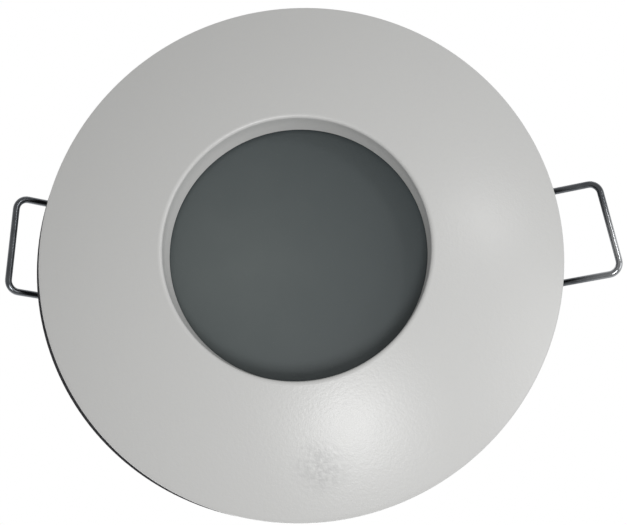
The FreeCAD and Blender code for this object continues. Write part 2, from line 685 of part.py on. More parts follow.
def make_lampholder():
    """The ceramic holder with a well for each pin, a contact in each well, the strap that hangs
    it from the can's top, and what fastens them."""
    holder_r = "(Size.holder_dia / 2)"
    back_r = "(Size.holder_back_dia / 2)"
    step_z = f"({PINS_Z} + Size.holder_step)"
    holder = turned("lampholder_body", [
        ("0", PINS_Z), (holder_r, PINS_Z), (holder_r, step_z),
        (back_r, f"{step_z} + Size.holder_slope"), (back_r, HOLDER_TOP), ("0", HOLDER_TOP)])
    round_rings(holder, holder.Tip, "Size.holder_round", [(holder_r, PINS_Z)])
    pin_x = "(Size.pin_pitch / 2)"
    wells = new_sketch(holder, "XY_Plane", lift=PINS_Z)
    circles(wells, [(x, "0", "Size.pin_well_dia / 2") for x in (pin_x, f"-{pin_x}")])
    well_depth = "(Size.pin_length + Size.contact_thick)"
    pocket(holder, wells, well_depth, reverse=True)
    recess = new_sketch(holder, "XY_Plane", lift=HOLDER_TOP)
    circles(recess, [("0", "0", "Size.back_recess_dia / 2")])
    pocket(holder, recess, "Size.back_recess_depth")
    screw_y = "(Size.holder_screw_pitch / 2)"
    screw_r = "(Size.screw_dia / 2 + Size.fit_gap)"
    screw_holes = [("0", y, screw_r) for y in (screw_y, f"-{screw_y}")]
    holes = new_sketch(holder, "XY_Plane", lift=HOLDER_TOP)
    circles(holes, screw_holes)
    pocket(holder, holes, "Size.holder_screw_length - Size.strap_thick + Size.screw_hole_spare")

    contacts = new_body("lampholder_contacts")
    well_end = f"({PINS_Z} + {well_depth})"
    strip = new_sketch(contacts, "XY_Plane", lift=well_end)
    half = "Size.contact_width / 2"
    rectangle(strip, f"({pin_x} - {half})", f"({pin_x} + {half})", f"-({half})", half)
    pad(contacts, strip, "Size.contact_thick", reverse=True)
    repeat_body(contacts, "2")

    bracket = new_body("holder_bracket")
    leg_out = f"({STRAP_FOOT_Y} - Size.strap_foot)"
    leg_in = f"({leg_out} - Size.strap_thick)"
    foot_z = f"({CAN_CEILING} - Size.strap_thick)"
    right_half = [(leg_in, STRAP_TOP), (leg_in, CAN_CEILING), (STRAP_FOOT_Y, CAN_CEILING),
                  (STRAP_FOOT_Y, foot_z), (leg_out, foot_z), (leg_out, HOLDER_TOP)]
    left_half = [(f"-{y}", z) for y, z in reversed(right_half)]
    side = new_sketch(bracket, "YZ_Plane")
    outline(side, right_half + left_half)
    pad(bracket, side, "Size.strap_width", symmetric=True)
    plate_holes = new_sketch(bracket, "XY_Plane", lift=STRAP_TOP)
    earth_r = "(Size.earth_screw_dia / 2 + Size.fit_gap)"
    circles(plate_holes, screw_holes + [("0", "0", earth_r)])
    pocket(bracket, plate_holes, "2 * Size.strap_thick")
    foot_holes = new_sketch(bracket, "XY_Plane", lift=CAN_CEILING)
    rivet_r = "(Size.rivet_dia / 2 + Size.fit_gap)"
    circles(foot_holes, [("0", y, rivet_r) for y in (STRAP_RIVET_Y, f"-{STRAP_RIVET_Y}")])
    pocket(bracket, foot_holes, "2 * Size.strap_thick")

    make_screws("holder_screws", screw_y, STRAP_TOP, "Size.holder_screw_length", "2")
    make_screws("earth_screw", "0", STRAP_TOP, "Size.earth_screw_length", "1",
                "Size.earth_screw_dia", "Size.earth_head_dia", "Size.earth_head_height")

    rivets = new_body("bracket_rivets")
    rivet_stack(rivets, "XY_Plane", ("0", STRAP_RIVET_Y), "Size.can_height", foot_z)
    repeat_body(rivets, "2")


def rivet_stack(body, role, place, outside, inside, turn=None):
    """One rivet square to a plane: a round head on the outside level, a shank, and a set end on
    the inside level."""
    layers = [(outside, "Size.rivet_head_dia / 2", "Size.rivet_head_height", False),
              (outside, "Size.rivet_dia / 2", f"({outside}) - ({inside})", True),
              (inside, "Size.rivet_set_dia / 2", "Size.rivet_head_height", True)]
    for level, radius, height, reverse in layers:
        sketch = new_sketch(body, role, lift=level, turn=turn)
        circles(sketch, [(*place, radius)])
        pad(body, sketch, height, reverse=reverse)


# ---------------------------------------------------------------------------------------------
# Cable gland
# ---------------------------------------------------------------------------------------------

def make_gland():
    """The cable gland on the can's top: washer, body, locknut, rubber insert and dome nut."""
    thread_r = "(Size.gland_thread_dia / 2)"
    bore_r = "(Size.gland_bore_dia / 2)"
    cable_r = "(Size.gland_cable_dia / 2)"
    locknut_low = f"({CAN_CEILING} - Size.locknut_height)"
    ring("gland_washer", f"({thread_r} + Size.fit_gap)", "(Size.gland_flats / 2)",
         "Size.can_height", GLAND_Z)

    collar_r = f"({thread_r} - Size.gland_collar_step)"
    collar_top = f"({GLAND_NUT_Z} + Size.gland_collar_height)"
    insert_r = f"({collar_r} - Size.gland_collar_wall)"
    insert_top = f"({collar_top} + Size.gland_insert_proud)"
    insert_low = f"({insert_top} - Size.gland_insert_length)"
    body = turned("gland_body", [
        (bore_r, locknut_low), (thread_r, locknut_low), (thread_r, GLAND_Z), (thread_r, GLAND_NUT_Z),
        (collar_r, GLAND_NUT_Z), (collar_r, collar_top), (insert_r, collar_top),
        (insert_r, insert_low), (bore_r, insert_low)])
    hexed = new_sketch(body, "XY_Plane", lift=GLAND_Z)
    hexagon(hexed, "Size.gland_flats")
    circles(hexed, [("0", "0", f"({thread_r} - Size.gland_collar_step)")])
    pad(body, hexed, "Size.gland_hex_height")

    locknut = new_body("gland_locknut")
    nut = new_sketch(locknut, "XY_Plane", lift=locknut_low)
    hexagon(nut, "Size.gland_flats", across="Y")
    circles(nut, [("0", "0", f"({thread_r} + Size.fit_gap)")])
    pad(locknut, nut, "Size.locknut_height")

    side_r = f"({insert_r} - Size.fit_gap)"
    turned("gland_insert", [
        (cable_r, insert_low), (side_r, insert_low), (side_r, f"{collar_top} + Size.gland_insert_lip"),
        (f"({insert_r} - Size.gland_insert_slope)", insert_top), (cable_r, insert_top)])

    dome = new_body("gland_nut")
    nut_top = f"({GLAND_NUT_Z} + Size.gland_nut_height)"
    flats_r = "(Size.gland_flats / 2)"
    flats_top = f"({GLAND_NUT_Z} + Size.gland_nut_flats_height)"
    mouth_r = f"({cable_r} + Size.gland_mouth_lip)"
    base = new_sketch(dome, "XY_Plane", lift=GLAND_NUT_Z)
    hexagon(base, "Size.gland_flats")
    pad(dome, base, "Size.gland_nut_flats_height")
    crown = new_sketch(dome, "XZ_Plane")
    outline(crown, [("0", GLAND_NUT_Z), (flats_r, GLAND_NUT_Z), (flats_r, flats_top),
                    (f"({mouth_r} + Size.gland_mouth_edge)", nut_top), ("0", nut_top)],
            {2: ("Size.gland_nut_crown", "left")})
    revolve(dome, crown)
    hollow = new_sketch(dome, "XZ_Plane")
    clear = f"({collar_r} + Size.fit_gap)"
    below = f"({GLAND_NUT_Z} - {OVERRUN})"
    above = f"({nut_top} + {OVERRUN})"
    outline(hollow, [("0", below), (clear, below), (clear, f"{collar_top} + Size.gland_play"),
                     (mouth_r, f"{insert_top} + Size.gland_play"), (mouth_r, above), ("0", above)])
    before = dome.Shape.Volume
    groove = dome.newObject("PartDesign::Groove", "Hollow")
    groove.Profile = hollow
    groove.ReferenceAxis = (hollow, ["V_Axis"])
    groove.Angle = 360.0
    finish(dome, groove)
    if dome.Shape.Volume >= before:
        raise RuntimeError("the dome nut isn't hollow")


# ---------------------------------------------------------------------------------------------
# Spring clips
# ---------------------------------------------------------------------------------------------

def biarc(start, start_way, stop, stop_way):
    """Two arcs that leave one point in a given direction and reach another in a given direction."""
    chord = stop - start
    ways = start_way + stop_way
    spread = 2 * (1 - start_way.dot(stop_way))
    reach = (math.sqrt(chord.dot(ways) ** 2 + spread * chord.dot(chord)) - chord.dot(ways)) / spread
    first_corner = start + start_way * reach
    last_corner = stop - stop_way * reach
    middle = (first_corner + last_corner) / 2
    return [tangent_arc(start, first_corner, middle), tangent_arc(middle, last_corner, stop)]


def tangent_arc(start, corner, stop):
    """The arc that touches both sides of a corner at its two ends."""
    half = (start + stop) / 2
    chord = (stop - start).Length / 2
    side = (corner - start).Length
    lean = math.acos(chord / side)
    peak = half + (corner - half) * (math.tan(lean / 2) / math.tan(lean))
    return Part.Arc(start, peak, stop).toShape()


def coil_points(droop, mirrored):
    """Places and directions along one coil about the hinge, which lies on Y. The tail comes from
    the can under the pin, and the leg leaves under it towards the loop's cross bar."""
    radius = number(COIL_R)
    turns = number("Size.coil_turns")
    pitch = number("Size.coil_pitch")
    outer_y = number("Size.loop_width / 2")
    sweep = math.radians(360 * turns - droop)
    steps = int(2 * turns)
    inner_y = outer_y - pitch * math.degrees(sweep) / 360
    hand = -1 if mirrored else 1
    places = []
    for step in range(steps + 1):
        angle = sweep * step / steps
        bearing = angle - math.pi / 2
        y = inner_y + (outer_y - inner_y) * step / steps
        rise = 0 if step in (0, steps) else pitch / (2 * math.pi)
        way = Vector(-radius * math.sin(bearing), hand * rise, radius * math.cos(bearing))
        place = Vector(radius * math.cos(bearing), hand * y, radius * math.sin(bearing))
        places.append((place, way.normalize()))
    return places


def coil_path(droop, mirrored):
    """The wire's centre line: straight tail, turns, and one wire's width of straight leg."""
    places = coil_points(droop, mirrored)
    start, start_way = places[0]
    stop, stop_way = places[-1]
    can_x = math.sqrt(number(CAN_R) ** 2 - start.y**2)
    tail_x = can_x + number("Size.tail_setback") - number("Size.hinge_radius")
    tail = Vector(tail_x, start.y, start.z)
    edges = [Part.LineSegment(tail, start).toShape()]
    for (a, a_way), (b, b_way) in zip(places, places[1:]):
        edges += biarc(a, a_way, b, b_way)
    leg = stop + stop_way * number("Size.wire_dia")
    edges.append(Part.LineSegment(stop, leg).toShape())
    return Part.Wire(edges)


def gap_to_itself(path):
    """Least distance between stretches of the wire that are at least half a turn apart."""
    spacing = 0.3
    points = path.discretize(Distance=spacing)
    skip = int(math.pi * number(COIL_R) / spacing)
    least = min((p - q).Length for i, p in enumerate(points) for q in points[i + skip:])
    return least - number("Size.wire_dia")


def hinge_frame(angle):
    """Where a clip's hinge lies: X points away from the can and Y runs along the pin."""
    out = FreeCAD.Placement(Vector(), FreeCAD.Rotation(Vector(0, 0, 1), number(angle)))
    place = Vector(number("Size.hinge_radius"), 0, number(HINGE_Z))
    return out * FreeCAD.Placement(place, FreeCAD.Rotation())


def make_coils(side, angle, droop):
    """The two wound parts of one spring, each an unbroken tube."""
    for index, mirrored in enumerate((False, True), start=1):
        path = coil_path(number(droop), mirrored)
        start = path.OrderedVertexes[0].Point
        section = Part.Circle(start, Vector(1, 0, 0), number("Size.wire_dia / 2"))
        tube = path.makePipeShell([Part.Wire([section.toShape()])], True, False)
        coil = document.addObject("Part::Feature", f"{side}_coil_{index}")
        coil.Label = f"{side}_spring_coil_{index}"
        coil.Shape = tube
        coil.Placement = hinge_frame(angle)
        pieces.append(coil)
        print(f"{coil.Label}: least gap between turns {gap_to_itself(path):.3f} mm")


def make_loop(side, angle, droop):
    """The wire loop that snaps out over the board. It is drawn flat, its legs starting where the
    coils end, and then set at its droop."""
    body = new_body(f"{side}_spring_loop")
    skew = f"Size.{side}_loop_skew"
    leg_y = "(Size.loop_width / 2)"
    offset = f"({leg_y} * tan({skew}))"
    long_turn = f"(Size.loop_bend / tan(45 - {skew} / 2))"
    short_turn = f"(Size.loop_bend / tan(45 + {skew} / 2))"
    path = new_sketch(body, "XY_Plane")
    points = [
        ("Size.wire_dia", leg_y),
        (f"({LOOP_LENGTH} + {offset} - {long_turn})", leg_y),
        (f"({LOOP_LENGTH} + {offset} - {long_turn} * sin({skew}))",
         f"({leg_y} - {long_turn} * cos({skew}))"),
        (f"({LOOP_LENGTH} - {offset} + {short_turn} * sin({skew}))",
         f"({short_turn} * cos({skew}) - {leg_y})"),
        (f"({LOOP_LENGTH} - {offset} - {short_turn})", f"-{leg_y}"),
        ("Size.wire_dia", f"-{leg_y}"),
    ]
    corner = ("Size.loop_bend", "right")
    outline(path, points, {1: corner, 3: corner}, closed=False)
    section = new_sketch(body, "YZ_Plane", lift="Size.wire_dia")
    circles(section, [(leg_y, "0", "Size.wire_dia / 2")])
    document.recompute()
    pipe = body.newObject("PartDesign::AdditivePipe", "Wire")
    pipe.Profile = section
    pipe.Spine = (path, [f"Edge{i}" for i in range(1, len(points))])
    finish(body, pipe)
    lean = FreeCAD.Placement(Vector(), FreeCAD.Rotation(Vector(0, 1, 0), number(droop)))
    under = FreeCAD.Placement(Vector(0, 0, -number(COIL_R)), FreeCAD.Rotation())
    body.Placement = hinge_frame(angle) * lean * under


def make_bracket(side, angle):
    """The folded bracket: a plate bent to the can's side, and two ears that carry the pin."""
    body = new_body(f"{side}_clip_bracket")
    low = f"({HINGE_Z} - Size.bracket_height / 2)"
    inner_x = f"sqrt({CAN_R}^2 - {EAR_OUT_Y}^2)"
    outer_x = f"sqrt({BRACKET_R}^2 - {EAR_OUT_Y}^2)"
    plate = new_sketch(body, "XY_Plane", lift=low)
    outline(plate, [(inner_x, f"-{EAR_OUT_Y}"), (outer_x, f"-{EAR_OUT_Y}"), (outer_x, EAR_OUT_Y),
                    (inner_x, EAR_OUT_Y)], {1: (BRACKET_R, "left"), 3: (CAN_R, "right")})
    pad(body, plate, "Size.bracket_height")

    foot_x = f"(sqrt({CAN_R}^2 - {EAR_Y}^2) + Size.fit_gap)"
    ear = new_sketch(body, "XZ_Plane", lift=EAR_Y)
    round_r = "Size.ear_end_radius"
    touch_x = f"(Size.hinge_radius + {round_r} * cos(Size.ear_slope_angle))"
    touch_up = f"({HINGE_Z} + {round_r} * sin(Size.ear_slope_angle))"
    touch_down = f"({HINGE_Z} - {round_r} * sin(Size.ear_slope_angle))"
    slope_x = f"({foot_x} + Size.ear_foot)"
    high = f"({HINGE_Z} + Size.bracket_height / 2)"
    outline(ear, [(foot_x, low), (slope_x, low), (touch_x, touch_down), (touch_x, touch_up),
                  (slope_x, high), (foot_x, high)], {2: (round_r, "left")})
    ear_pad = pad(body, ear, "Size.bracket_sheet")
    mirror(body, [ear_pad], "XZ_Plane")

    pin_hole = new_sketch(body, "XZ_Plane")
    circles(pin_hole, [("Size.hinge_radius", HINGE_Z, "Size.hinge_pin_dia / 2 + Size.fit_gap")])
    pocket(body, pin_hole, f"3 * {EAR_OUT_Y}", symmetric=True)
    face = new_sketch(body, "YZ_Plane")
    rivet_r = "(Size.rivet_dia / 2 + Size.fit_gap)"
    tail_r = "(Size.wire_dia / 2 + Size.tail_hole_play)"
    tail_y = coil_points(number(f"Size.{side}_arm_droop"), False)[0][0].y
    tail_z = f"({HINGE_Z} - {COIL_R})"
    holes = [("0", height, rivet_r) for height in clip_rivet_heights()]
    holes += [(str(y), tail_z, tail_r) for y in (tail_y, -tail_y)]
    circles(face, holes)
    pocket(body, face, f"({BRACKET_R} + {OVERRUN})", reverse=True)
    turn_to_clip(body, angle)


def turn_to_clip(body, angle):
    body.Placement = FreeCAD.Placement(Vector(), FreeCAD.Rotation(Vector(0, 0, 1), number(angle)))


def make_clip_rivets(side, angle):
    """The two rivets that hold a bracket to the can."""
    body = new_body(f"{side}_clip_rivets")
    inside = f"sqrt(({CAN_R} - Size.can_wall)^2 - (Size.rivet_head_dia / 2)^2)"
    for height in clip_rivet_heights():
        rivet_stack(body, "YZ_Plane", ("0", height), BRACKET_R, inside)
    turn_to_clip(body, angle)


def make_hinge_pin(side, angle):
    """The pin through the ears and coils, with a head at one end and a push-on cap at the other."""
    head_y = f"({EAR_OUT_Y} + Size.fit_gap)"
    end_y = f"({head_y} + Size.pin_cap_thick + Size.pin_end)"
    place = ("Size.hinge_radius", HINGE_Z)
    pin = new_body(f"{side}_hinge_pin")
    shank = new_sketch(pin, "XZ_Plane", lift=f"-{head_y}")
    circles(shank, [(*place, "Size.hinge_pin_dia / 2")])
    pad(pin, shank, f"{head_y} + {end_y}")
    head = new_sketch(pin, "XZ_Plane", lift=f"-{head_y}")
    circles(head, [(*place, "Size.hinge_head_dia / 2")])
    pad(pin, head, "Size.hinge_head_thick", reverse=True)
    turn_to_clip(pin, angle)

    cap = new_body(f"{side}_pin_cap")
    washer = new_sketch(cap, "XZ_Plane", lift=head_y)
    circles(washer, [(*place, "Size.hinge_head_dia / 2"),
                     (*place, "Size.hinge_pin_dia / 2 + Size.fit_gap")])
    pad(cap, washer, "Size.pin_cap_thick")
    turn_to_clip(cap, angle)


def make_clip(side):
    angle = f"Size.{side}_clip_angle"
    droop = f"Size.{side}_arm_droop"
    make_bracket(side, angle)
    make_clip_rivets(side, angle)
    make_hinge_pin(side, angle)
    make_coils(side, angle, droop)
    make_loop(side, angle, droop)


# ---------------------------------------------------------------------------------------------
# Build, check and write
# ---------------------------------------------------------------------------------------------

make_bezel()
make_ceiling_gasket()
make_glass_seal()
make_front_glass()
make_glass_clamp_ring()
make_can_seal()
make_rear_can()
make_screws("can_screws", SCREW_R, "Size.can_wall", "Size.flange_screw_length", "Size.screw_count")
make_lamp()
make_lampholder()
make_gland()
make_clip("right")
make_clip("left")
document.recompute()

for item in document.Objects:
    if {"Invalid", "Error"} & set(item.State):
        raise RuntimeError(f"{item.Label} didn't build: {item.State}")

os.makedirs("parts", exist_ok=True)
for piece in pieces:
    shape = piece.Shape
    if shape.isNull() or not shape.isValid() or not shape.Solids:
        raise RuntimeError(f"{piece.Label} isn't a valid solid")
    shape.exportStep(f"parts/{piece.Label}.step")
    print(f"{piece.Label}: {len(shape.Solids)} solid(s), {shape.Volume:.1f} mm3")
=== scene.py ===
# %% [markdown]
# # A soffit downlight
#
# The light stands here as it is fitted: its white trim faces down, its can goes up into the soffit,
# and a sprung wire loop at each side holds it to the board. The measured model gives the places and
# most of the sizes, so this file only adds what a drawing leaves out: round corners, smooth wire, and
# the finishes of powder coat, etched glass, spring steel, foam, zinc, nylon and drawn aluminium.

# %% Load the measured model
import json
import math
import bmesh
import bpy
from mathutils import Matrix, Vector


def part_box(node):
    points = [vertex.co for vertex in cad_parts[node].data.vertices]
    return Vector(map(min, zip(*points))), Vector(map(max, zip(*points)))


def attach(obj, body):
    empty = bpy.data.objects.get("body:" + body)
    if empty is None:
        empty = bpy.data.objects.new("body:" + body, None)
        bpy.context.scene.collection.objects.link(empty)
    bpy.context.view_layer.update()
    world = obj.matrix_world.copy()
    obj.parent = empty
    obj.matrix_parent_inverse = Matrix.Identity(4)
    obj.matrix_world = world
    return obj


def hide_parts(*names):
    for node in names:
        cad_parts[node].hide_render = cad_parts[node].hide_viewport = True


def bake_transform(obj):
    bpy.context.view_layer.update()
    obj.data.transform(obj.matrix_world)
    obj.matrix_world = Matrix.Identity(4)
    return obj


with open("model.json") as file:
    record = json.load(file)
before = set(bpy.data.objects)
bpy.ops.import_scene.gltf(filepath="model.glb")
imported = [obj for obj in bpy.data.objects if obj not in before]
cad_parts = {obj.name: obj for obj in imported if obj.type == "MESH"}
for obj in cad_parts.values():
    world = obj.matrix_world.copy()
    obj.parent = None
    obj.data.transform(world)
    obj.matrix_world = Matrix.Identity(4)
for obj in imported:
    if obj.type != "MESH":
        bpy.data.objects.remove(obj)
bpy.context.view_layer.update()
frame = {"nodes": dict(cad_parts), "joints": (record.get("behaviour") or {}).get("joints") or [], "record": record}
MM = 0.001

# %% [markdown]
# ## Camera
#
# The photograph looks up at the face from a little below and to the right of its middle. The 27 cm
# between them is a choice: the outline fits about as well from farther off, with a deeper trim. A
# camera only has to know where it stands and which way it looks. Its right-hand edge is kept square
# to the object's Y axis, which fixes its roll.

# %% Place the camera
CAMERA_PLACE = Vector((17.5, 56.8, -265.6)) * MM
CAMERA_WAY = Vector((-0.0558, -0.2073, 0.9767)).normalized()
FOCAL_LENGTH = 90.5

page_right = Vector((0, 1, 0)).cross(CAMERA_WAY).normalized()
page_up = page_right.cross(CAMERA_WAY)
camera_data = bpy.data.cameras.new("Camera")
camera_data.lens = FOCAL_LENGTH
camera_data.sensor_width = 36
camera = bpy.data.objects.new("Camera", camera_data)
turn = Matrix((page_right, page_up, -CAMERA_WAY)).transposed().to_4x4()
camera.matrix_world = Matrix.Translation(CAMERA_PLACE) @ turn
bpy.context.scene.collection.objects.link(camera)
bpy.context.scene.camera = camera
bpy.context.scene.view_settings.view_transform = "Standard"
print("camera looks along", [round(part, 3) for part in CAMERA_WAY])

# %% [markdown]
# ## Shader arithmetic
#
# Most finishes are sums: a base value, plus some share of a mottling. Writing them with Math nodes by
# hand hides the sum, so one small class holds a socket and lets Python's own operators add the Math
# nodes. Everything that isn't a sum is added by its type through one method.

# %% A value that can be added up
class Value:
    """An output socket of a shader, with the arithmetic that adds Math nodes."""

    def __init__(self, finish, socket):
        self.finish = finish
        self.socket = socket

    def sum_with(self, operation, other, swapped=False):
        terms = {0: other, 1: self} if swapped else {0: self, 1: other}
        return self.finish.node("ShaderNodeMath", {"operation": operation}, terms)

    def __add__(self, other):
        return self.sum_with("ADD", other)

    def __radd__(self, other):
        return self.sum_with("ADD", other, swapped=True)

    def __mul__(self, other):
        return self.sum_with("MULTIPLY", other)


# %% [markdown]
# Every finish starts as one Principled shader with plain values. What varies over a real surface is
# then added to it: soft clouds for stains and bloom, cells for pits and crystals, a distance from a
# place for a mark, and relief that only tilts the light. All of it is read from the piece's own
# coordinates in millimetres, so a pattern keeps its real size and stays on the piece when it moves.

# %% A finish, to which nodes are added
class Finish:
    """A material with one Principled shader, and short ways to add what varies over it.

    The plain colour and roughness are what a viewer shows that can't read the added nodes.
    """

    def __init__(self, name, colour, roughness, **constants):
        self.material = bpy.data.materials.new(name)
        self.material.use_nodes = True
        self.tree = self.material.node_tree
        self.shader = self.tree.nodes["Principled BSDF"]
        self.set(Base_Color=(*colour, 1), Roughness=roughness, **constants)
        self.place = self.node("ShaderNodeTexCoord", output="Object")

    def node(self, kind, settings=None, inputs=None, output=0):
        """Adds a node: first its settings, then the values or links of its sockets."""
        node = self.tree.nodes.new(kind)
        for name, value in (settings or {}).items():
            setattr(node, name, value)
        for key, value in (inputs or {}).items():
            self.join(node.inputs[key], value)
        return Value(self, node.outputs[output])

    def join(self, socket, value):
        if isinstance(value, Value):
            self.tree.links.new(value.socket, socket)
        else:
            socket.default_value = value

    def set(self, **sockets):
        """Sets or links sockets of the Principled shader, with _ for each space in a name."""
        for name, value in sockets.items():
            self.join(self.shader.inputs[name.replace("_", " ")], value)

    def noise(self, size, detail=3.0, place=None):
        """Soft random mottling. size is the width of one patch in millimetres."""
        inputs = {"Vector": place or self.place, "Scale": 1 / (size * MM), "Detail": detail}
        return self.node("ShaderNodeTexNoise", None, inputs, "Fac")

    def cells(self, size):
        """Random cells of about this size in millimetres, dark at their middles."""
        inputs = {"Vector": self.place, "Scale": 1 / (size * MM)}
        return self.node("ShaderNodeTexVoronoi", None, inputs, "Distance")

    def stretched(self, x, y, z):
        """Object coordinates multiplied along each axis, so a pattern is drawn out along one."""
        return self.node("ShaderNodeMapping", None, {"Vector": self.place, "Scale": (x, y, z)}, "Vector")

    def far_from_axis(self, near, far):
        """0 within one distance of the upright axis and 1 beyond another, in millimetres."""
        flat = self.stretched(1, 1, 0)
        radius = self.node("ShaderNodeVectorMath", {"operation": "LENGTH"}, {0: flat}, "Value")
        return self.ramp(radius, near * MM, far * MM)

    def near(self, place, reach):
        """1 at a place and 0 at this distance from it, both in millimetres."""
        centre = tuple(part * MM for part in place)
        inputs = {0: self.place, 1: centre}
        away = self.node("ShaderNodeVectorMath", {"operation": "DISTANCE"}, inputs, "Value")
        return self.ramp(away, 0.0, reach * MM, 1.0, 0.0)

    def ramp(self, value, low, high, dark=0.0, bright=1.0):
        """Spreads the values between low and high over the range from dark to bright."""
        inputs = {"Value": value, "From Min": low, "From Max": high, "To Min": dark, "To Max": bright}
        return self.node("ShaderNodeMapRange", None, inputs)

    def mix(self, amount, first, second):
        """One colour laid over another, by an amount from 0 to 1."""
        inputs = {0: amount, 6: first, 7: second}
        return self.node("ShaderNodeMix", {"data_type": "RGBA"}, inputs, 2)

    def bump(self, height, depth, below=None):
        """Relief of this depth in millimetres, on top of coarser relief where that is given."""
        inputs = {"Height": height, "Distance": depth * MM, "Strength": 1.0}
        if below:
            inputs["Normal"] = below
        return self.node("ShaderNodeBump", None, inputs, "Normal")


def rgba(red, green, blue):
    return (red, green, blue, 1)


# %% [markdown]
# ## Finishes of the front
#
# The trim is powder coated. The powder melts into a skin that is smooth to the touch but never flat:
# its fine waves, a little over half a millimetre across, are called orange peel. They only show where
# a highlight crosses them, so they belong in the bump. The colour holds a few specks of dust and one
# grey smudge below the opening, which is taken for a finger mark.

# %% White powder coat
COAT = (0.575, 0.575, 0.568)
GREASE = (0.40, 0.40, 0.40)
SMUDGE_PLACE = (4.0, 36.0, -6.5)
SMUDGE_REACH = 5.4


def powder_coat():
    finish = Finish("white_powder_coat", COAT, 0.36)
    peel = finish.noise(0.62, 2.0)
    grain = finish.noise(0.30, 2.0)
    cloud = finish.noise(14, 3.0)
    blotch = finish.ramp(finish.noise(0.9, 3.0), 0.35, 0.60)
    print_mark = finish.near(SMUDGE_PLACE, SMUDGE_REACH) * blotch
    specks = finish.ramp(finish.cells(3.6), 0.0, 0.035, 1.0, 0.0)
    colour = finish.mix(print_mark * 0.80 + specks * 0.25, rgba(*COAT), rgba(*GREASE))
    finish.set(Base_Color=colour, Roughness=0.27 + cloud * 0.10)
    coarse = finish.bump(peel, 0.022)
    finish.set(Normal=finish.bump(grain, 0.012, below=coarse))
    return finish.material


# %% [markdown]
# Etched glass scatters what passes through it, so with the lamp off the window is a dark grey-green
# disc with a soft sheen. The photograph shows it paler to one side of the middle. No lamp here makes
# that, so it is painted light: a lit and a shaded copy of the grey, mixed by distance from one place.
# The surface is a field of tiny pits, a few larger ones are paler, and the edge of the disc carries a
# painted shade, inside the trim's wall.

# %% Etched glass
PAINTED_GLOW_PLACE = (-11.0, 2.0, -5.0)
PAINTED_GLOW_REACH = 34.0


def etched_glass():
    finish = Finish("frosted_glass", (0.105, 0.12, 0.118), 0.42, IOR=1.5)
    pits = finish.noise(0.16, 4.0)
    pinholes = finish.ramp(finish.cells(0.9), 0.0, 0.09, 1.0, 0.0)
    veil = finish.noise(7, 3.0)
    # Painted light: the grey is paler near one place and falls off to a painted shade farther from it.
    painted_glow = finish.near(PAINTED_GLOW_PLACE, PAINTED_GLOW_REACH)
    # Painted shade: the disc is darker at its edge, inside the trim's wall.
    rim = finish.far_from_axis(21.7, 22.3)
    lit = finish.mix(veil, rgba(0.086, 0.101, 0.101), rgba(0.104, 0.119, 0.118))
    shade = finish.mix(painted_glow, rgba(0.053, 0.065, 0.069), lit)
    dark = finish.mix(rim, shade, rgba(0.045, 0.053, 0.058))
    finish.set(Base_Color=finish.mix(pinholes * 0.35, dark, rgba(0.20, 0.21, 0.21)))
    finish.set(Roughness=0.36 + pits * 0.16)
    finish.set(Normal=finish.bump(pits, 0.012))
    return finish.material


# %% [markdown]
# Spring wire is drawn through a die and then tempered, which leaves it a little stained. Its colour is
# kept dark as a painted reflection of dark surroundings, so it reads as dark steel with one sharp line
# of light. The photograph shows the bar of the right loop brighter than the rest; that is painted here
# as a highlight, a pale patch in the colour of its middle.

# %% Drawn spring wire
PAINTED_HIGHLIGHT_PLACE = (54.5, -3.0, 6.4)


def spring_wire():
    finish = Finish("spring_wire", (0.30, 0.31, 0.32), 0.2, Metallic=1.0)
    stain = finish.noise(2.2, 4.0)
    grit = finish.noise(0.09, 2.0)
    # Painted highlight: a pale patch in the middle of the right loop's bar.
    painted_highlight = finish.near(PAINTED_HIGHLIGHT_PLACE, 9.0)
    # Painted reflection: the steel's dark colour stands for the dark surroundings it would mirror; stains mottle
    # it.
    steel = finish.mix(stain, rgba(0.06, 0.065, 0.075), rgba(0.18, 0.19, 0.20))
    finish.set(Base_Color=finish.mix(painted_highlight * 0.7, steel, rgba(0.62, 0.63, 0.64)))
    finish.set(Roughness=0.12 + stain * 0.10)
    finish.set(Normal=finish.bump(grit, 0.006))
    return finish.material


# %% [markdown]
# The foam ring is cut from soft sheet. It swallows nearly all light, and cutting opens the small
# bubbles of the foam, so its faces are a field of pores.

# %% Black foam
def foam():
    finish = Finish("black_foam", (0.022, 0.022, 0.025), 0.95)
    pores = finish.cells(0.45)
    finish.set(Base_Color=finish.mix(pores, rgba(0.008, 0.008, 0.010), rgba(0.05, 0.05, 0.055)))
    finish.set(Normal=finish.bump(pores, 0.12))
    return finish.material


# %% [markdown]
# ## Finishes of the back
#
# The can is drawn from a sheet of aluminium. The punch leaves fine lines along its height, so the
# pattern is noise that is squeezed around the can and drawn out along Z. Zinc-plated sheet and screws
# have a duller, bluer grain of small crystals.

# %% Drawn aluminium
def drawn_aluminium():
    finish = Finish("drawn_aluminium", (0.50, 0.51, 0.52), 0.35, Metallic=1.0)
    lines = finish.noise(0.35, 3.0, finish.stretched(1, 1, 0.02))
    scuff = finish.noise(7, 5.0)
    finish.set(Base_Color=finish.mix(scuff, rgba(0.40, 0.41, 0.42), rgba(0.60, 0.61, 0.62)))
    finish.set(Roughness=0.26 + lines * 0.22)
    finish.set(Normal=finish.bump(lines, 0.010))
    return finish.material


# %% [markdown]
# Bent sheet and screws are plated with zinc. The plate grows in crystals, larger on sheet than on a
# screw, and goes chalky in patches where it has been handled.

